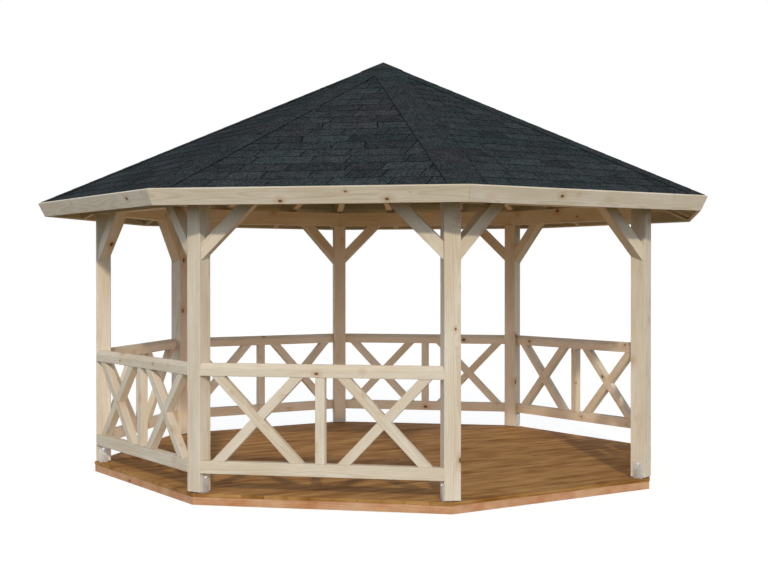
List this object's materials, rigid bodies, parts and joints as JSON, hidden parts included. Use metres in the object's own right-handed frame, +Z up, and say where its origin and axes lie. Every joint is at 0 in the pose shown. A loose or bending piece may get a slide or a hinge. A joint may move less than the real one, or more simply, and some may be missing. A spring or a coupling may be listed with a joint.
{
  "type": "octagonal garden gazebo",
  "caption": "Open octagonal garden gazebo: timber deck, square posts, crossed railings, knee braces and a shingled tent roof, with one side open as the entrance.",
  "frame": {"origin": "on the ground, at the middle of the deck's underside", "axes": "+Z up through the roof's apex, -Y out through the open entrance side, +X to the right of someone who looks in at the entrance"},
  "size_m": [5.4306, 5.4306, 3.522],
  "materials": {
    "pine": "planed softwood, unstained",
    "deck_timber": "brown stained softwood deck boards",
    "roof_boarding": "planed tongue and groove softwood",
    "galvanised_steel": "hot dip galvanised",
    "bitumen_shingle": "charcoal mineral granules on bitumen felt"
  },
  "bodies": {
    "root": {"deck_frame": "deck_timber", "deck_boards": "deck_timber", "post_shoes": "galvanised_steel", "shoe_bolts": "galvanised_steel", "post_front_right": "pine", "post_right_front": "pine", "post_right_back": "pine", "post_back_right": "pine", "post_back_left": "pine", "post_left_back": "pine", "post_left_front": "pine", "post_front_left": "pine", "wall_plate_front": "pine", "wall_plate_front_right": "pine", "wall_plate_right": "pine", "wall_plate_back_right": "pine", "wall_plate_back": "pine", "wall_plate_back_left": "pine", "wall_plate_left": "pine", "wall_plate_front_left": "pine", "knee_braces": "pine", "railing_front_right": "pine", "railing_right": "pine", "railing_back_right": "pine", "railing_back": "pine", "railing_back_left": "pine", "railing_left": "pine", "railing_front_left": "pine", "crown_block": "pine", "hip_rafters": "pine", "jack_rafters": "pine", "fascia_boards": "pine", "roof_boards_front": "roof_boarding", "roof_boards_front_right": "roof_boarding", "roof_boards_right": "roof_boarding", "roof_boards_back_right": "roof_boarding", "roof_boards_back": "roof_boarding", "roof_boards_back_left": "roof_boarding", "roof_boards_left": "roof_boarding", "roof_boards_front_left": "roof_boarding", "roof_shingles": "bitumen_shingle", "hip_caps": "bitumen_shingle", "apex_cap": "bitumen_shingle"}
  },
  "joints": []
}
